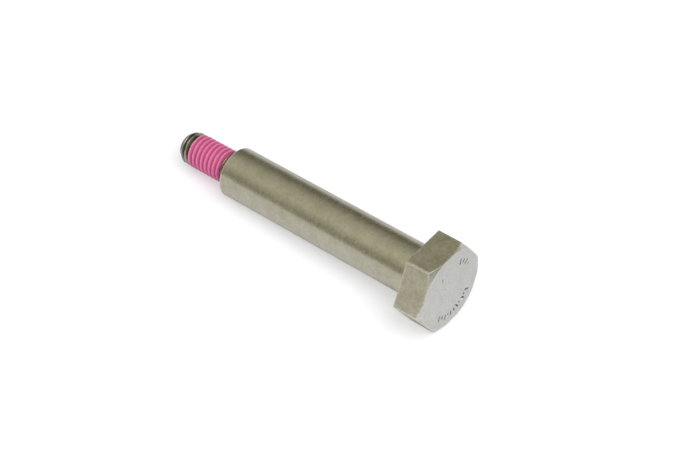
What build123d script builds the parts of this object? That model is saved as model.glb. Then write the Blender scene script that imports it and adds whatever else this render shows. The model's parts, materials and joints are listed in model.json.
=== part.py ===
from build123d import *
import math
import os

# Hexagon head shoulder bolt with a thread-locking patch, in millimetres.
#
# The bolt lies on the plane z = 0 as it comes to rest: the bottom flat of its head
# touches along the edge beside the shoulder, and the plain shoulder touches at its far
# end. Its axis lies in the XZ plane, runs from the head towards +X and slopes down.
# The origin is on that plane, under the middle of the bolt's length.

# ---- driving dimensions --------------------------------------------------------------
shoulder_diameter = 12.0
shoulder_length = 55.0           # from the bearing face under the head
shoulder_end_chamfer = 0.5       # at 45 degrees
underhead_radius = 0.4           # fillet between the bearing face and the shoulder

head_across_flats = 19.0
head_height = 7.0
head_edge_radius = 0.3           # on the corner edges and around the bearing face
head_chamfer_depth = 0.95        # along the axis, at the six corners
head_chamfer_angle = 35.0        # from the end face, in degrees

thread_diameter = 8.0            # M8 x 1.25, at its major diameter
thread_end_length = 15.0         # from the shoulder, with the neck and the point
neck_diameter = 6.4              # a little under the root of the thread
neck_width = 1.0
neck_slope_angle = 45.0          # from the neck up to the thread, in degrees
point_diameter = 5.8             # flat end of the thread
point_length = 1.5

patch_thickness = 0.18           # dry adhesive coat, over the crests of the thread
patch_neck_gap = 0.2             # left bare beside the neck
patch_point_gap = 1.1            # left bare beside the point, about one turn

# ---- sizes worked out from them --------------------------------------------------------
shoulder_radius = shoulder_diameter / 2
thread_radius = thread_diameter / 2
neck_radius = neck_diameter / 2
point_radius = point_diameter / 2
flat_radius = head_across_flats / 2
corner_radius = flat_radius / math.cos(math.pi / 6)
face_radius = corner_radius - head_chamfer_depth / math.tan(math.radians(head_chamfer_angle))

neck_slope_length = (thread_radius - neck_radius) / math.tan(math.radians(neck_slope_angle))
neck_end = shoulder_length + neck_width
thread_start = neck_end + neck_slope_length
bolt_end = shoulder_length + thread_end_length
thread_end = bolt_end - point_length
patch_start = thread_start + patch_neck_gap
patch_end = thread_end - patch_point_gap

# ---- resting pose ----------------------------------------------------------------------
# The rounded lower edge of the bearing face touches z = 0, and the bolt slopes down until
# the first of these rims touches it too. Each rim is a distance along the axis from the
# bearing face, and a radius.
rim_distance = shoulder_length - shoulder_end_chamfer
rims = [
    (rim_distance, shoulder_radius),
    (patch_end, thread_radius + patch_thickness),
    (thread_end, thread_radius),
    (bolt_end, point_radius),
]


def tilt_onto(distance, radius):
    """Slope of the axis, in radians, with the head's edge and this rim both on z = 0."""
    span = distance + head_edge_radius
    drop = flat_radius - head_edge_radius - radius
    return math.atan2(drop, span) + math.asin(head_edge_radius / math.hypot(span, drop))


tilt = min(tilt_onto(distance, radius) for distance, radius in rims)
edge_centre_height = (flat_radius - head_edge_radius) * math.cos(tilt)
bearing_z = edge_centre_height + head_edge_radius * (1 - math.sin(tilt))
head_reach = head_height * math.cos(tilt) + min(face_radius, flat_radius) * math.sin(tilt)
point_reach = bolt_end * math.cos(tilt) + point_radius * math.sin(tilt)
bearing_x = (head_reach - point_reach) / 2

axis_direction = Vector(math.cos(tilt), 0, -math.sin(tilt))
bearing_centre = Vector(bearing_x, 0, bearing_z)
bolt_axis = Axis(bearing_centre, axis_direction)
# across the bolt, with local x along +Y
bearing_plane = Plane(origin=bearing_centre, x_dir=(0, 1, 0), z_dir=axis_direction)
# along the bolt, with local x along its axis and local y the radius, upwards
profile_plane = Plane(origin=bearing_centre, x_dir=axis_direction, z_dir=(0, -1, 0))

# ---- bolt: one turned piece --------------------------------------------------------------
with BuildPart() as bolt:
    # hexagon with a flat underneath
    with BuildSketch(bearing_plane):
        RegularPolygon(flat_radius, 6, major_radius=False, rotation=0)
    extrude(amount=-head_height)
    corner_edges = bolt.edges().filter_by(bolt_axis)
    bearing_edges = bolt.faces().sort_by(bolt_axis)[-1].edges()
    fillet(corner_edges + bearing_edges, head_edge_radius)
    # the six corners are turned down to a cone at the end face
    with BuildSketch(profile_plane):
        with BuildLine():
            Polyline(
                (-head_height, 0),
                (-head_height, face_radius),
                (-head_height + head_chamfer_depth, corner_radius),
                (0, corner_radius),
                (0, 0),
                close=True,
            )
        make_face()
    revolve(axis=bolt_axis, mode=Mode.INTERSECT)
    # shoulder, neck, thread and point, with the fillet under the head
    with BuildSketch(profile_plane):
        with BuildLine():
            Polyline(
                (0, shoulder_radius + underhead_radius),
                (-head_height / 2, shoulder_radius + underhead_radius),
                (-head_height / 2, 0),
                (bolt_end, 0),
                (bolt_end, point_radius),
                (thread_end, thread_radius),
                (thread_start, thread_radius),
                (neck_end, neck_radius),
                (shoulder_length, neck_radius),
                (shoulder_length, shoulder_radius - shoulder_end_chamfer),
                (rim_distance, shoulder_radius),
                (underhead_radius, shoulder_radius),
            )
            CenterArc(
                center=(underhead_radius, shoulder_radius + underhead_radius),
                radius=underhead_radius,
                start_angle=180,
                arc_size=90,
            )
        make_face()
    revolve(axis=bolt_axis)

bolt.part.label = "bolt"

# ---- thread-locking patch: a dry coat over the turns of the thread ---------------------
with BuildPart() as thread_locking_patch:
    with BuildSketch(profile_plane):
        with BuildLine():
            Polyline(
                (patch_start, thread_radius),
                (patch_end, thread_radius),
                (patch_end, thread_radius + patch_thickness),
                (patch_start, thread_radius + patch_thickness),
                close=True,
            )
        make_face()
    revolve(axis=bolt_axis)

thread_locking_patch.part.label = "thread_locking_patch"

os.makedirs("parts", exist_ok=True)
export_step(bolt.part, "parts/bolt.step")
export_step(thread_locking_patch.part, "parts/thread_locking_patch.step")
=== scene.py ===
import json
import math

import bpy
import numpy as np
from mathutils import Matrix, Vector, geometry


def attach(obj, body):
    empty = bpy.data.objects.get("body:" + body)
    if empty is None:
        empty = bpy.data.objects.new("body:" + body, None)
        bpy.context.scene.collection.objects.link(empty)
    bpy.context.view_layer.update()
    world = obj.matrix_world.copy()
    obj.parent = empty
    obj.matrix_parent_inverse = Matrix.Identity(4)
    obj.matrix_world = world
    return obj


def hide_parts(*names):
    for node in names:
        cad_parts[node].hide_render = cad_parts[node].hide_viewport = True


# The visible model of a hexagon head shoulder bolt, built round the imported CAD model.
# Sizes below are in millimetres, in the bolt's own axes: x along its axis from the
# bearing face under the head towards the thread, y sideways and z up.

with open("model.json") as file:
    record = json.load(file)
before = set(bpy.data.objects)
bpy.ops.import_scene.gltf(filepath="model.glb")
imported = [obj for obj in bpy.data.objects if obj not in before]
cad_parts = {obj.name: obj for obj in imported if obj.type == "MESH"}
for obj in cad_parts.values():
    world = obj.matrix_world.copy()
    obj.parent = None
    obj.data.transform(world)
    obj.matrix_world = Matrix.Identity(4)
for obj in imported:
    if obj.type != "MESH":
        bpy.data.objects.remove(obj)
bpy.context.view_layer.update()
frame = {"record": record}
record = frame["record"]
mounts = {m["name"]: m for m in record["mounts"]}

MM = 0.001
TAU = 2 * math.pi

# ---- the bolt's sizes and its place, from the record ------------------------------------
axis = Vector(mounts["shoulder"]["axis"]).normalized()
bearing = Vector(mounts["bearing_face"]["pos_m"])
bearing.y = 0.0
side = Vector((0.0, 1.0, 0.0))
upward = axis.cross(side)
placing = Matrix.Translation(bearing) @ Matrix((axis, side, upward)).transposed().to_4x4()

SHOULDER_R = mounts["shoulder"]["dims"]["r_mm"]
THREAD_R = mounts["threaded_end"]["dims"]["r_mm"]
SHOULDER_END = axis.dot(Vector(mounts["shoulder_end"]["pos_m"]) - bearing) / MM
HEAD_H = -axis.dot(Vector(mounts["hexagon"]["pos_m"]) - bearing) / MM
FLAT_R = 9.5
FACE_R = 9.6
CORNER_ROUND = 0.3
CHAMFER = math.tan(math.radians(35.0))
SHOULDER_CHAMFER = 0.5
UNDERHEAD_ROUND = 0.4
NECK_R = 3.2
NECK_END = SHOULDER_END + 1.0
THREAD_START = NECK_END + THREAD_R - NECK_R
POINT_START = SHOULDER_END + 13.5
BOLT_END = SHOULDER_END + 15.0
POINT_R = 2.9
PITCH = 1.25
CREST_HALF = PITCH / 16
ROOT_ROUND = 0.144 * PITCH
FLANK = math.tan(math.radians(60.0))
COAT_START = SHOULDER_END + 1.9
COAT_END = SHOULDER_END + 11.8
COAT_ON_CRESTS = 0.075
COAT_MORE_IN_ROOTS = 0.09
COAT_LUMPS = 0.022
COAT_TUCK = 0.03           # how far the coat's edge dips under the thread's surface
COAT_INSIDE = 0.08         # how far its inner skin lies under that surface

# ---- how finely the mesh follows them --------------------------------------------------
SOFT = 0.05                # width over which the thread's edges blend
ARC_STEPS = 5              # parts of a rounded corner's arc
CORNER_ROWS = ARC_STEPS + 3    # rows of a corner: its arc's and one of support on each side
BOLT_COLUMNS = 120         # columns round the threaded end
COAT_COLUMNS = 160
COAT_INNER_ROWS = 90


# ---- small helpers --------------------------------------------------------------------
def waves(seed, count=6, low=1, high=9):
    """A smooth closed curve of angle made of a few sine waves, from about -1 to 1."""
    rng = np.random.default_rng(seed)
    turns = rng.integers(low, high, count)
    phases = rng.uniform(0, TAU, count)
    sizes = rng.uniform(0.4, 1.0, count)
    parts = list(zip(sizes, turns, phases))
    return lambda a: sum(s * np.sin(t * a + p) for s, t, p in parts) / sizes.sum()


def rounded(corners, steps=ARC_STEPS, support=0.35):
    """Points along an open outline, each corner (r, x, radius, wear and painted highlight) turned
    into an arc, with a point of support on each side of it. Returns [(r, x, wear and painted
    highlight)]."""
    found = [(corners[0][0], corners[0][1], 0.0)]
    for before, here, after in zip(corners, corners[1:], corners[2:]):
        corner, last, coming = (np.array(c[:2], float) for c in (here, before, after))
        radius, wear = here[2], here[3]
        u, v = last - corner, coming - corner
        reach_u, reach_v = np.linalg.norm(u), np.linalg.norm(v)
        u, v = u / reach_u, v / reach_v
        half = math.acos(float(np.clip(u @ v, -1, 1))) / 2
        back = min(radius / math.tan(half), 0.45 * reach_u, 0.45 * reach_v)
        radius = back * math.tan(half)
        centre = corner + (u + v) / np.linalg.norm(u + v) * radius / math.sin(half)
        start, end = corner + u * back, corner + v * back
        beside = min(back + support, 0.48 * reach_u)
        found.append((*(corner + u * beside), 0.0))
        first = math.atan2(*(start - centre)[::-1])
        turn = math.atan2(*(end - centre)[::-1]) - first
        turn = (turn + math.pi) % TAU - math.pi
        for k in range(steps + 1):
            a = first + turn * k / steps
            r, x = centre[0] + radius * math.cos(a), centre[1] + radius * math.sin(a)
            found.append((r, x, wear))
        beside = min(back + support, 0.48 * reach_v)
        found.append((*(corner + v * beside), 0.0))
    found.append((corners[-1][0], corners[-1][1], 0.0))
    return found


def thread_depth(along):
    """Depth of a 60 degree thread below its crest, at a distance along the axis from a crest."""
    off = np.abs((along + PITCH / 2) % PITCH - PITCH / 2)
    flank = (off - CREST_HALF) * FLANK
    sharp = (PITCH / 2 - CREST_HALF) * FLANK
    left = np.clip(ROOT_ROUND ** 2 - (PITCH / 2 - off) ** 2, 0, None)
    root = sharp - ROOT_ROUND - (ROOT_ROUND - np.sqrt(left))
    tangent = PITCH / 2 - ROOT_ROUND * math.cos(math.radians(30.0))
    depth = np.where(off > tangent, root, flank)
    return np.maximum(soft_max(depth, 0.0, SOFT) - SOFT / 4, 0.0)


def soft_max(a, b, width):
    """The larger of two values, blended where they are nearer each other than width."""
    gap = np.maximum(width - np.abs(a - b), 0.0)
    return np.maximum(a, b) + gap * gap / (4 * width)


def soft_min(a, b, width):
    return -soft_max(-a, -b, width)


def turned(x):
    """Radius of the turned end before its thread is cut."""
    neck = np.interp(x, [SHOULDER_END, NECK_END, THREAD_START], [NECK_R, NECK_R, THREAD_R])
    point = np.interp(x, [POINT_START, BOLT_END], [THREAD_R, POINT_R])
    return np.minimum(neck, point)


def thread_radius(x, a):
    """Radius of the threaded end at a place along the axis and an angle."""
    depth = thread_depth(x - PITCH * a / TAU)
    return soft_min(THREAD_R - depth, turned(x), SOFT)


edge_wave = waves(11, low=1, high=6)
fine_wave = waves(12, low=9, high=34)
lump_wave = waves(13, count=9, low=2, high=15)
neck_wave = waves(14, low=1, high=12)


def coat_edge(a):
    """Where the coat stops on the point's side, an uneven line."""
    return COAT_END + 0.16 * edge_wave(a) + 0.10 * fine_wave(a)


def coat_radius(x, a):
    """Outer radius of the adhesive coat: thin on the crests, deeper in the roots, uneven."""
    depth = thread_depth(x - PITCH * a / TAU)
    share = np.clip(depth / 0.6, 0, 1)
    lumps = lump_wave(a + 0.9 * x) * 0.5 + lump_wave(3 * a - 1.7 * x + 1.0) * 0.5
    thick = COAT_ON_CRESTS + COAT_MORE_IN_ROOTS * share + COAT_LUMPS * lumps
    near = np.clip((coat_edge(a) - x) / 0.5, 0, 1)
    far = np.clip((x - COAT_START - 0.15 * (1 + neck_wave(a))) / 0.3, 0, 1)
    cover = np.minimum(near, far)
    cover = cover * cover * (3 - 2 * cover)
    return thread_radius(x, a) + thick * cover - COAT_TUCK * (1 - cover)


class Surface:
    """Vertices and faces gathered for one mesh, with a value of wear and painted highlight and a
    depth value for each vertex.
    """

    def __init__(self):
        self.points, self.wear, self.depth = [], [], []
        self.faces, self.slots = [], []

    def add(self, x, r, a, wear=0.0, depth=0.0):
        self.points.append((x, r * math.cos(a), r * math.sin(a)))
        self.wear.append(wear)
        self.depth.append(depth)
        return len(self.points) - 1

    def face(self, *corners, slot=0):
        if len(set(corners)) > 2:
            self.faces.append(corners)
            self.slots.append(slot)

    def rings(self, rows, slot=0):
        """Quads between rows of vertices, each row a closed ring."""
        count = len(rows[0])
        for one, two in zip(rows, rows[1:]):
            for k in range(count):
                n = (k + 1) % count
                self.face(one[k], one[n], two[n], two[k], slot=slot)

    def sew(self, one, two, keys_one, keys_two, slot=0, flip=False):
        """Triangles between two lines of vertices, each with a rising key for each vertex."""
        i = j = 0
        while i < len(one) - 1 or j < len(two) - 1:
            ahead = j == len(two) - 1 or (
                i < len(one) - 1 and keys_one[i + 1] <= keys_two[j + 1]
            )
            tri = (one[i], one[i + 1], two[j]) if ahead else (one[i], two[j + 1], two[j])
            self.face(*(tri[::-1] if flip else tri), slot=slot)
            i, j = (i + 1, j) if ahead else (i, j + 1)

    def build(self, name, materials):
        """Makes the mesh and its object, in the bolt's place."""
        mesh = bpy.data.meshes.new(name)
        mesh.from_pydata((np.array(self.points) * MM).tolist(), [], self.faces)
        for material in materials:
            mesh.materials.append(material)
        mesh.polygons.foreach_set("material_index", self.slots)
        mesh.polygons.foreach_set("use_smooth", [True] * len(self.faces))
        for label, values in (("wear", self.wear), ("depth", self.depth)):
            attribute = mesh.attributes.new(label, "FLOAT", "POINT")
            attribute.data.foreach_set("value", np.array(values, np.float32))
        mesh.validate()
        mesh.update()
        # Each vertex takes the mean normal of its faces by area, so flats stay flat.
        sums = np.zeros((len(mesh.vertices), 3))
        normals = np.empty(len(mesh.polygons) * 3)
        mesh.polygons.foreach_get("normal", normals)
        areas = np.empty(len(mesh.polygons))
        mesh.polygons.foreach_get("area", areas)
        corners = np.empty(len(mesh.loops), int)
        mesh.loops.foreach_get("vertex_index", corners)
        totals = np.empty(len(mesh.polygons), int)
        mesh.polygons.foreach_get("loop_total", totals)
        weighted = normals.reshape(-1, 3) * areas[:, None]
        np.add.at(sums, corners, np.repeat(weighted, totals, axis=0))
        sums /= np.linalg.norm(sums, axis=1)[:, None] + 1e-20
        mesh.normals_split_custom_set_from_vertices(sums.tolist())
        made = bpy.data.objects.new(name, mesh)
        bpy.context.scene.collection.objects.link(made)
        made.matrix_world = placing
        return made


# ---- columns: angles round the bolt, close together at the hexagon's corners --------------
# Degrees on each side of a corner; the last column of a sector is a flat's middle.
OFFSETS = [0.13, 0.27, 0.4, 0.53, 0.66, 0.79, 1.1, 1.7, 2.7, 4.2, 6.2, 8.7, 11.5, 14.5, 17.7,
           21.0, 24.0, 27.0]
sector = [-o for o in OFFSETS[::-1]] + [0.0] + OFFSETS + [30.0]
columns = np.radians([60 * k + o for k in range(6) for o in sector])


def off_corner(a):
    """Angle from the nearest corner of the hexagon, from -30 to 30 degrees."""
    return (a + math.pi / 6) % (math.pi / 3) - math.pi / 6


def hexagon_radius(a):
    """Distance from the axis to the hexagon's outline, with its corners rounded."""
    off = off_corner(a)
    centre = (FLAT_R - CORNER_ROUND) / math.cos(math.pi / 6)
    inside = CORNER_ROUND ** 2 - (centre * math.sin(off)) ** 2
    edge = math.atan2(CORNER_ROUND / 2, centre + CORNER_ROUND * math.cos(math.pi / 6))
    if abs(off) < edge:
        return centre * math.cos(off) + math.sqrt(inside)
    return FLAT_R / math.cos(math.pi / 6 - abs(off))


# ---- the end face of the head, with shallow stamped ticks -------------------------------
def capsule(centre, heading, length, width, count=18):
    """Outline of a round-ended slot."""
    along, across = (length - width) / 2, width / 2
    found = []
    for k in range(count):
        a = TAU * (k + 0.5) / count
        x = across * math.cos(a) + math.copysign(along, math.cos(a))
        y = across * math.sin(a)
        c, s = math.cos(heading), math.sin(heading)
        found.append((centre[0] + x * c - y * s, centre[1] + x * s + y * c))
    return found


# Arcs of ticks: first and last angle in degrees, number of ticks, radius.
TICK_ARCS = ((-140.0, -52.0, 11, 6.9), (126.0, 156.0, 4, 6.9))
TICK_LENGTHS = (1.5, 0.85)
TICK_WIDTH = 0.52
NICK_AT, NICK_R = math.radians(64.0), 5.4
NICK = (1.9, 0.9, 0.42, 0.12)      # heading, length, width, depth
# The wall of a tick: how far it stands in from the outline, and its share of the depth.
TICK_WALL = ((0.0, 0.0), (0.05, 0.35), (0.13, 0.9), (0.19, 1.0))
# Rings of single vertices that keep the end face's triangles even: radius and number.
FACE_RINGS = ((0.0, 1), (1.6, 8), (3.2, 16), (4.6, 24), (8.6, 60))


def stamped_ticks():
    """Plain worn ticks in arcs near the rim: (centre, heading, length, width, depth)."""
    rng = np.random.default_rng(21)
    ticks = []
    for first, last, count, radius in TICK_ARCS:
        for k in range(count):
            a = math.radians(first + (last - first) * k / (count - 1) + rng.uniform(-1.2, 1.2))
            length = TICK_LENGTHS[k % 2] + rng.uniform(-0.25, 0.25)
            out = radius + rng.uniform(-0.25, 0.25)
            centre = (out * math.cos(a), out * math.sin(a))
            heading = a + rng.uniform(-0.3, 0.3)
            ticks.append((centre, heading, length, TICK_WIDTH, rng.uniform(0.13, 0.2)))
    ticks.append(((NICK_R * math.cos(NICK_AT), NICK_R * math.sin(NICK_AT)), *NICK))
    return ticks


def face_cap(surface, ring, slot):
    """Fills the end face inside a ring of vertices, with its ticks sunk into it."""
    spots = [(surface.points[i][1], surface.points[i][2]) for i in ring]
    made = [(spot, 0.0, 0.0) for spot in spots]
    edges = [(k, (k + 1) % len(ring)) for k in range(len(ring))]
    for centre, heading, length, width, depth in stamped_ticks():
        for inset, sunk in TICK_WALL:
            outline = capsule(centre, heading, length - 2 * inset, width - 2 * inset)
            first = len(made)
            made += [(spot, sunk * depth, sunk) for spot in outline]
            edges += [(first + k, first + (k + 1) % len(outline)) for k in range(len(outline))]
    for radius, count in FACE_RINGS:
        for k in range(count):
            a = TAU * (k + 0.5) / count
            made.append(((radius * math.cos(a), radius * math.sin(a)), 0.0, 0.0))
    spots = [Vector(m[0]) for m in made]
    out, _, faces, origin, _, _ = geometry.delaunay_2d_cdt(spots, edges, [], 1, 1e-6)
    index = {}
    for at in sorted({at for corners in faces for at in corners}):
        spot, k = out[at], origin[at][0]
        if k < len(ring):
            index[at] = ring[k]
        else:
            radius, angle = spot.length, math.atan2(spot.y, spot.x)
            index[at] = surface.add(-HEAD_H + made[k][1], radius, angle, depth=made[k][2])
    for corners in faces:
        surface.face(*(index[at] for at in reversed(corners)), slot=slot)


# ---- the bolt -------------------------------------------------------------------------
FACE, FLATS, SHANK, THREAD = range(4)      # its material slots
HEAD_FOOT_R = SHOULDER_R + UNDERHEAD_ROUND + 0.6     # where head and shank meet on the bearing face

# How strong the wear and the painted highlight on the head's edges are, round the bolt.
wear_wave = waves(5, low=3, high=17)


def head_outline(a):
    """Outline of the head from the end face to the bearing face, at one angle."""
    outer = hexagon_radius(a)
    width = max(outer - FACE_R, 0.0)
    rim = min(FACE_R, outer - 0.09)
    drop = max(width * CHAMFER, 0.055)
    wear = 0.5 + 0.5 * wear_wave(a)
    # The last value of each rounded corner is its wear with a painted highlight: how pale its edge
    # is painted.
    return [
        (rim - 0.9, -HEAD_H),
        (rim, -HEAD_H, 0.10 + 0.05 * wear, 0.3 + 0.3 * wear),
        (outer, -HEAD_H + drop, 0.10 + 0.06 * wear, 0.8 + 0.2 * wear),
        (outer, 0.0, 0.28, 0.2 + 0.4 * wear),
        (HEAD_FOOT_R, 0.0),
    ]


def corner_wear(a):
    """Wear and painted highlight along the edges between the flats."""
    off = math.degrees(abs(off_corner(a)))
    return float(np.interp(off, [0.0, 0.8, 2.2], [1.0, 0.9, 0.0]))


bolt_surface = Surface()
head_lines = []
for a in columns:
    line = []
    for r, x, wear in rounded(head_outline(a)):
        on_side = -HEAD_H + 0.05 < x < -0.02
        line.append(bolt_surface.add(x, r, a, max(wear, corner_wear(a) if on_side else 0.0)))
    head_lines.append(line)
head_rows = [list(row) for row in zip(*head_lines)]
flats_row = CORNER_ROWS + 2    # the first row of the curved edges where the chamfer meets the flats
face_cap(bolt_surface, head_rows[0], FACE)
bolt_surface.rings(head_rows[:flats_row + 1], FACE)
bolt_surface.rings(head_rows[flats_row:], FLATS)

# The shank's outline. A corner's last value is its wear and painted highlight.
shank_line = rounded([
    (HEAD_FOOT_R, 0.0),
    (SHOULDER_R, 0.0, UNDERHEAD_ROUND, 0.0),
    (SHOULDER_R, SHOULDER_END - SHOULDER_CHAMFER, 0.12, 1.0),
    (SHOULDER_R - SHOULDER_CHAMFER, SHOULDER_END, 0.10, 0.8),
    (NECK_R, SHOULDER_END, 0.12, 0.0),
    (NECK_R, SHOULDER_END + 0.45),
], steps=6)
shank_rows = [head_rows[-1]]
for r, x, wear in shank_line[1:]:
    # The shoulder's end chamfer is painted pale all round: a painted highlight where its rim
    # catches the light.
    if x > SHOULDER_END - SHOULDER_CHAMFER and r > SHOULDER_R - SHOULDER_CHAMFER - 0.02:
        wear = 1.0     # the end chamfer is bright
    shank_rows.append([bolt_surface.add(x, r, a, wear) for a in columns])
bolt_surface.rings(shank_rows, SHANK)


# Rows on each side of a crest, close together where the thread bends.
CREST_OFFSETS = [0.0, 0.05, 0.075, 0.10, 0.18, 0.29, 0.40, 0.47, 0.53, 0.58]
LEAD = 0.3                 # room between an end and the first whole turn
LEAD_ROWS = 25


def threaded(surface, radius_of, first, last, slot, count):
    """A threaded surface between two places on the axis. Its rows follow the helix, and
    the last turn at each end is drawn out to a flat ring. Returns its two end rings."""
    steps = sorted([-o for o in CREST_OFFSETS[1:]] + CREST_OFFSETS + [PITCH / 2])
    start = math.ceil((first + LEAD) / PITCH - 0.5) * PITCH + PITCH / 2
    whole = int((last - LEAD - start) / PITCH) - 1
    made = []
    for k in range(count):
        a = TAU * k / count
        helix = [start + PITCH * a / TAU]
        helix += [
            start + PITCH * (t + a / TAU) + s + PITCH / 2 for t in range(whole) for s in steps
        ]
        low = np.linspace(first, helix[0], LEAD_ROWS + 1)[:-1]
        high = np.linspace(helix[-1], last, LEAD_ROWS + 1)[1:]
        places = np.concatenate([low, helix, high])
        radii = radius_of(places, a)
        depths = THREAD_R - thread_radius(places, a)
        made.append([
            surface.add(x, r, a, depth=float(d)) for x, r, d in zip(places, radii, depths)
        ])
    for one, two in zip(made, made[1:]):
        for i in range(len(one) - 1):
            surface.face(one[i], two[i], two[i + 1], one[i + 1], slot=slot)
    keys = [[surface.points[v][0] for v in line] for line in (made[-1], made[0])]
    surface.sew(made[-1], made[0], *keys, slot=slot, flip=True)
    return [line[0] for line in made], [line[-1] for line in made]


def join_rings(surface, one, two, slot):
    """Triangles between two closed rings with different numbers of vertices."""
    def turn_of(vertex):
        _, y, z = surface.points[vertex]
        return (math.atan2(z, y) % TAU + 1e-6) % TAU

    def opened(ring):
        start = min(range(len(ring)), key=lambda k: turn_of(ring[k]))
        return ring[start:] + ring[:start] + [ring[start]]

    one, two = opened(one), opened(two)
    keys = [[turn_of(v) for v in line[:-1]] + [turn_of(line[-1]) + TAU] for line in (one, two)]
    surface.sew(one, two, *keys, slot=slot)


low_ring, high_ring = threaded(
    bolt_surface, thread_radius, SHOULDER_END + 0.6, BOLT_END - 0.12, THREAD, BOLT_COLUMNS
)
join_rings(bolt_surface, shank_rows[-1], low_ring, THREAD)

# The flat end of the point: (r, x, wear and painted highlight) from its rounded edge inwards.
# Its rim is painted paler: a painted highlight.
tip_line = (
    (POINT_R + 0.03, BOLT_END - 0.06, 0.6), (POINT_R - 0.05, BOLT_END - 0.01, 0.8),
    (POINT_R - 0.14, BOLT_END, 0.4), (POINT_R - 0.5, BOLT_END, 0.0),
    (1.3, BOLT_END, 0.0), (0.5, BOLT_END, 0.0),
)
tip_rows = [high_ring]
tip_angles = [TAU * k / BOLT_COLUMNS for k in range(BOLT_COLUMNS)]
for r, x, wear in tip_line:
    tip_rows.append([bolt_surface.add(x, r, a, wear) for a in tip_angles])
bolt_surface.rings(tip_rows, THREAD)
pole = bolt_surface.add(BOLT_END, 0.0, 0.0)
for k, vertex in enumerate(tip_rows[-1]):
    bolt_surface.face(vertex, tip_rows[-1][(k + 1) % len(tip_rows[-1])], pole, slot=THREAD)


# ---- the adhesive coat: a thin closed shell over the thread ---------------------------------
coat_surface = Surface()
shell_start, shell_end = COAT_START - 0.1, COAT_END + 0.4
outer_low, outer_high = threaded(
    coat_surface, coat_radius, shell_start, shell_end, 0, COAT_COLUMNS
)
coat_angles = [TAU * k / COAT_COLUMNS for k in range(COAT_COLUMNS)]
inner_rows = []
for k in range(COAT_INNER_ROWS + 1):
    x = shell_start + (shell_end - shell_start) * k / COAT_INNER_ROWS
    inner_rows.append([
        coat_surface.add(x, float(thread_radius(np.array(x), a)) - COAT_INSIDE, a, depth=0.5)
        for a in coat_angles
    ])
coat_surface.rings([row[::-1] for row in inner_rows])
coat_surface.rings([inner_rows[0], outer_low])
coat_surface.rings([outer_high, inner_rows[-1]])


# ---- materials ----------------------------------------------------------------------------
class Tree:
    """A material's nodes, added and linked in one call each."""

    def __init__(self, material):
        material.use_nodes = True
        self.nodes, self.links = material.node_tree.nodes, material.node_tree.links
        self.nodes.clear()

    def add(self, kind, values=(), **settings):
        node = self.nodes.new("ShaderNode" + kind)
        for name, value in settings.items():
            setattr(node, name, value)
        for name, value in dict(values).items():
            self.put(node.inputs[name], value)
        return node

    def put(self, socket, value):
        if isinstance(value, bpy.types.NodeSocket):
            self.links.new(value, socket)
        elif isinstance(value, bpy.types.Node):
            self.links.new(value.outputs[0], socket)
        else:
            socket.default_value = value

    def maths(self, operation, one, two=0.0, clamp=False):
        return self.add("Math", {0: one, 1: two}, operation=operation, use_clamp=clamp).outputs[0]

    def spread(self, value, low, high, to_low=0.0, to_high=1.0):
        node = self.add("MapRange", {"Value": value, "From Min": low, "From Max": high,
                                     "To Min": to_low, "To Max": to_high})
        return node.outputs[0]

    def blend(self, share, one, two, kind="MIX"):
        node = self.add("Mix", data_type="RGBA", blend_type=kind)
        self.put(node.inputs[0], share)
        self.put(node.inputs[6], one)
        self.put(node.inputs[7], two)
        return node.outputs[2]

    def noise(self, places, scale, detail=3.0, rough=0.5):
        return self.add("TexNoise", {"Vector": places, "Scale": scale, "Detail": detail,
                                     "Roughness": rough}).outputs[0]

    def stretched(self, places, factors):
        node = self.add("VectorMath", {0: places, 1: factors}, operation="MULTIPLY")
        return node.outputs[0]


def rgba(red, green, blue):
    return (red, green, blue, 1.0)


# Paler steel for worn edges and for painted highlights where edges catch the light.
WORN_AND_HIGHLIT_STEEL = rgba(0.80, 0.79, 0.73)
# Painted shade: the colour the deep places are darkened towards.
PAINTED_DEEP_SHADE = rgba(0.075, 0.066, 0.045)
PINK, PALE_PINK = rgba(0.88, 0.20, 0.44), rgba(0.97, 0.31, 0.58)
# A darker pink painted into the roots as shade, and a dull pink for patches.
SHADED_ROOT_PINK, DULL_PINK = rgba(0.62, 0.10, 0.28), rgba(0.55, 0.09, 0.26)
SCUFFED_PINK = rgba(0.97, 0.66, 0.80)


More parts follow.
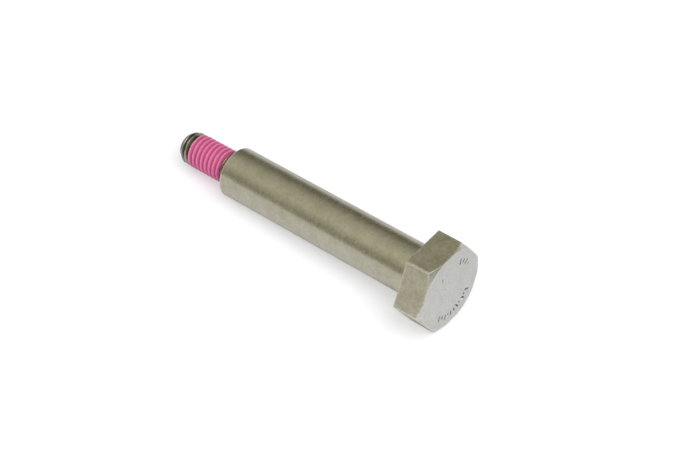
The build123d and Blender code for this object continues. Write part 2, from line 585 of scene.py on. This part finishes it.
def steel(name, light, dark, marks, mark_size, roughness, anisotropy, mottle=1.0, painted_deep_shade=0.0):
    """Stainless steel with machining marks. marks gives, for each axis, how fast they change;
    mottle is how strong the stains are, and the last argument how dark the painted shade
    in the deep places is."""
    material = bpy.data.materials.new(name)
    t = Tree(material)
    places = t.stretched(t.add("TexCoord").outputs["Object"], (1000.0, 1000.0, 1000.0))
    broad = t.noise(places, 0.35, 4.0, 0.55)
    patches = t.noise(places, 1.3, 5.0, 0.62)
    grain = t.noise(places, 5.0, 3.0, 0.6)
    lines = t.noise(t.stretched(places, marks), mark_size, 4.0, 0.65)
    scratches = t.noise(t.stretched(places, marks), mark_size * 3.1, 2.0, 0.5)
    tone = t.maths("ADD", t.maths("MULTIPLY", broad, 0.35), t.maths("MULTIPLY", patches, 0.4))
    tone = t.maths("ADD", tone, t.maths("MULTIPLY", lines, 0.25))
    tone = t.spread(tone, 0.36, 0.64)
    colour = t.blend(tone, dark, light)
    specks = t.spread(grain, 0.56, 0.72, 0.0, 0.35 * mottle)
    colour = t.blend(specks, colour, rgba(dark[0] * 0.62, dark[1] * 0.6, dark[2] * 0.55))
    # Wear and painted highlight: worn edges and rims that catch the light are painted in paler
    # steel.
    worn_and_highlit = t.add("Attribute", attribute_name="wear").outputs["Fac"]
    chips_and_highlights = t.maths("MULTIPLY", worn_and_highlit, t.spread(patches, 0.34, 0.62, 0.35, 1.0))
    colour = t.blend(chips_and_highlights, colour, WORN_AND_HIGHLIT_STEEL)
    # Painted shade in the deep places: the thread's roots and neck and the stamped ticks are
    # painted darker.
    depth = t.add("Attribute", attribute_name="depth").outputs["Fac"]
    colour = t.blend(t.maths("MULTIPLY", depth, painted_deep_shade, clamp=True), colour, PAINTED_DEEP_SHADE)
    rough = t.maths("ADD", t.spread(lines, 0.3, 0.7, -0.05, 0.06),
                    t.spread(patches, 0.3, 0.7, -0.04, 0.05))
    rough = t.maths("ADD", rough, roughness)
    rough = t.maths("SUBTRACT", rough, t.maths("MULTIPLY", worn_and_highlit, 0.06))
    height = t.maths("ADD", t.maths("MULTIPLY", lines, 0.55), t.maths("MULTIPLY", scratches, 0.3))
    height = t.maths("ADD", height, t.maths("MULTIPLY", patches, 0.5 * mottle))
    bump = t.add("Bump", {"Strength": 0.22, "Distance": 0.00006, "Height": height})
    shader = t.add("BsdfPrincipled", {
        "Base Color": colour, "Metallic": 1.0, "Roughness": rough, "Normal": bump,
        "Anisotropic": anisotropy,
    })
    if anisotropy:
        t.put(shader.inputs["Tangent"], t.add("Tangent", direction_type="RADIAL", axis="X"))
    t.add("OutputMaterial", {"Surface": shader.outputs[0]})
    return material


def coating(name):
    """Dry pink adhesive: matt, mottled, with painted shade in the roots and pale scuffs on the
    crests.
    """
    material = bpy.data.materials.new(name)
    t = Tree(material)
    places = t.stretched(t.add("TexCoord").outputs["Object"], (1000.0, 1000.0, 1000.0))
    depth = t.add("Attribute", attribute_name="depth").outputs["Fac"]
    patches = t.noise(places, 1.6, 4.0, 0.6)
    grain = t.noise(places, 7.0, 3.0, 0.6)
    # Painted shade: the roots of the thread are painted a darker pink.
    root = t.spread(depth, 0.08, 0.55)
    crest = t.blend(t.spread(patches, 0.35, 0.65), PINK, PALE_PINK)
    colour = t.blend(root, crest, SHADED_ROOT_PINK)
    pale = t.maths("MULTIPLY", t.spread(grain, 0.56, 0.70), t.spread(depth, 0.22, 0.05))
    colour = t.blend(t.maths("MULTIPLY", pale, 0.6), colour, SCUFFED_PINK)
    dull = t.spread(t.noise(places, 3.1, 3.0, 0.5), 0.58, 0.72, 0.0, 0.5)
    colour = t.blend(dull, colour, DULL_PINK)
    height = t.maths("ADD", patches, t.maths("MULTIPLY", grain, 0.45))
    bump = t.add("Bump", {"Strength": 0.45, "Distance": 0.00008, "Height": height})
    shader = t.add("BsdfPrincipled", {
        "Base Color": colour, "Roughness": t.spread(grain, 0.3, 0.7, 0.42, 0.62), "Normal": bump,
    })
    t.add("OutputMaterial", {"Surface": shader.outputs[0]})
    return material


face_steel = steel("steel_end_face", rgba(0.73, 0.73, 0.69), rgba(0.60, 0.60, 0.55),
                   (1.0, 0.25, 1.0), 3.0, 0.30, 0.0, mottle=0.7, painted_deep_shade=0.9)
flat_steel = steel("steel_flats", rgba(0.66, 0.63, 0.50), rgba(0.40, 0.375, 0.265),
                   (0.18, 1.0, 1.0), 4.0, 0.30, 0.0)
shank_steel = steel("steel_turned", rgba(0.63, 0.61, 0.50), rgba(0.46, 0.435, 0.32),
                    (1.0, 0.12, 0.12), 5.0, 0.22, 0.6, mottle=0.8)
thread_steel = steel("steel_thread", rgba(0.58, 0.56, 0.48), rgba(0.42, 0.40, 0.32),
                     (1.0, 0.3, 0.3), 4.0, 0.26, 0.0, painted_deep_shade=1.1)

bolt = bolt_surface.build("shoulder_bolt", [face_steel, flat_steel, shank_steel, thread_steel])
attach(bolt, "root")
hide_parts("bolt")

coat = coat_surface.build("thread_locking_coat", [coating("pink_adhesive")])
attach(coat, "root")
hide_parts("thread_locking_patch")


# ---- floor, light tent and lamp -----------------------------------------------------------
def disc(name, radius, count=64):
    """A flat round sheet on the ground."""
    mesh = bpy.data.meshes.new(name)
    ring = [(radius * math.cos(TAU * k / count), radius * math.sin(TAU * k / count), 0.0)
            for k in range(count)]
    mesh.from_pydata(ring, [], [tuple(range(count))])
    made = bpy.data.objects.new(name, mesh)
    bpy.context.scene.collection.objects.link(made)
    return made


FLOOR_R = 3.0
FLOOR_COLOUR = 0.84
FLOOR_TINTS = ((0.94, 0.96, 1.08), (0.96, 0.98, 1.10))     # cool white, barely mottled
FLOOR_LIFT = 0.42          # for the camera only, so that the white sheet shows white
FLOOR_SHEEN_LIFT = 0.10    # for metal that mirrors it

floor = disc("floor", FLOOR_R)
floor_material = bpy.data.materials.new("white_sheet")
t = Tree(floor_material)
rays = t.add("LightPath").outputs
paper = t.noise(t.add("TexCoord").outputs["Object"], 900.0, 3.0, 0.6)
tone = t.blend(paper, *(rgba(*(FLOOR_COLOUR * part for part in tint)) for tint in FLOOR_TINTS))
mirrored = t.maths("MAXIMUM", rays["Is Glossy Ray"], rays["Is Transmission Ray"])
lift = t.maths("ADD", t.maths("MULTIPLY", rays["Is Camera Ray"], FLOOR_LIFT),
               t.maths("MULTIPLY", mirrored, FLOOR_SHEEN_LIFT))
glow = t.add("Emission", {"Color": rgba(1.0, 1.0, 1.0), "Strength": lift})
sheet = t.add("BsdfDiffuse", {"Color": tone})
both = t.add("AddShader", {0: sheet.outputs[0], 1: glow.outputs[0]})
t.add("OutputMaterial", {"Surface": both.outputs[0]})
floor.data.materials.append(floor_material)

TENT_R = 1.2
# The cloth's colour by height: (share of the tent's height, colour).
TENT_SHADES = [
    (0.0, (0.86, 0.86, 0.84)), (0.09, (0.80, 0.80, 0.77)), (0.17, (0.31, 0.30, 0.25)),
    (0.42, (0.31, 0.295, 0.235)), (0.80, (0.66, 0.635, 0.545)), (1.0, (0.70, 0.685, 0.61)),
]


def tent_dome(name, rings=14, count=48):
    """A dome over the floor. It lights the bolt from all round, and its steel mirrors it."""
    points, faces = [], []
    for i in range(rings):
        up = math.radians(89.0 * i / (rings - 1))
        for k in range(count):
            a = TAU * k / count
            points.append((
                TENT_R * math.cos(up) * math.cos(a), TENT_R * math.cos(up) * math.sin(a),
                TENT_R * math.sin(up) + 0.0005,
            ))
    for i in range(rings - 1):
        for k in range(count):
            n = (k + 1) % count
            faces.append((i * count + k, (i + 1) * count + k, (i + 1) * count + n, i * count + n))
    faces.append(tuple((rings - 1) * count + k for k in reversed(range(count))))
    mesh = bpy.data.meshes.new(name)
    mesh.from_pydata(points, [], faces)
    made = bpy.data.objects.new(name, mesh)
    bpy.context.scene.collection.objects.link(made)
    return made


tent = tent_dome("light_tent")
tent.visible_camera = False
tent_material = bpy.data.materials.new("tent_cloth")
t = Tree(tent_material)
split = t.add("SeparateXYZ", {0: t.add("TexCoord").outputs["Object"]})
height = t.maths("DIVIDE", split.outputs["Z"], TENT_R)
ramp = t.add("ValToRGB", {"Fac": height})
for stop, (place, shade) in enumerate(TENT_SHADES):
    element = (ramp.color_ramp.elements[stop] if stop < 2      # a new ramp has two
               else ramp.color_ramp.elements.new(place))
    element.position, element.color = place, rgba(*shade)
brightness = t.spread(t.maths("DIVIDE", split.outputs["Y"], TENT_R), -0.8, 0.5, 0.6, 1.1)
cloth = t.add("Emission", {"Color": ramp.outputs["Color"], "Strength": brightness})
t.add("OutputMaterial", {"Surface": cloth.outputs[0]})
tent.data.materials.append(tent_material)

world = bpy.data.worlds.new("white_room")
bpy.context.scene.world = world
world.use_nodes = True
background = world.node_tree.nodes["Background"]
background.inputs["Color"].default_value = rgba(1.0, 1.0, 1.0)
background.inputs["Strength"].default_value = 1.0


def soft_lamp(name, place, size, power):
    """A round soft box that faces the bolt."""
    data = bpy.data.lights.new(name, "AREA")
    data.shape, data.size, data.energy = "DISK", size, power
    made = bpy.data.objects.new(name, data)
    bpy.context.scene.collection.objects.link(made)
    made.location = place
    made.rotation_euler = (-Vector(place)).to_track_quat("-Z", "Y").to_euler()
    made.visible_camera = False


soft_lamp("key_soft_box", (-0.42, 0.12, 0.72), 0.7, 3.4)

# ---- the camera -----------------------------------------------------------------------
camera_data = bpy.data.cameras.new("camera")
camera = bpy.data.objects.new("camera", camera_data)
bpy.context.scene.collection.objects.link(camera)
bpy.context.scene.camera = camera
camera_data.sensor_width = 36.0
camera_data.lens = 88.89
camera_data.clip_start, camera_data.clip_end = 0.01, 20.0
AIM = Vector((-0.00557, -0.00546, 0.0))
DISTANCE, AZIMUTH, ELEVATION, ROLL = 0.39072, 221.67, 48.88, -2.63
around, above = math.radians(AZIMUTH), math.radians(ELEVATION)
back = Vector((math.sin(around) * math.cos(above), -math.cos(around) * math.cos(above),
               math.sin(above)))
right = Vector((math.cos(around), math.sin(around), 0.0))
level_view = Matrix((right, back.cross(right), back)).transposed()
rolled_view = level_view @ Matrix.Rotation(math.radians(ROLL), 3, "Z")
camera.matrix_world = Matrix.Translation(AIM + DISTANCE * back) @ rolled_view.to_4x4()

bpy.context.scene.view_settings.view_transform = "Standard"
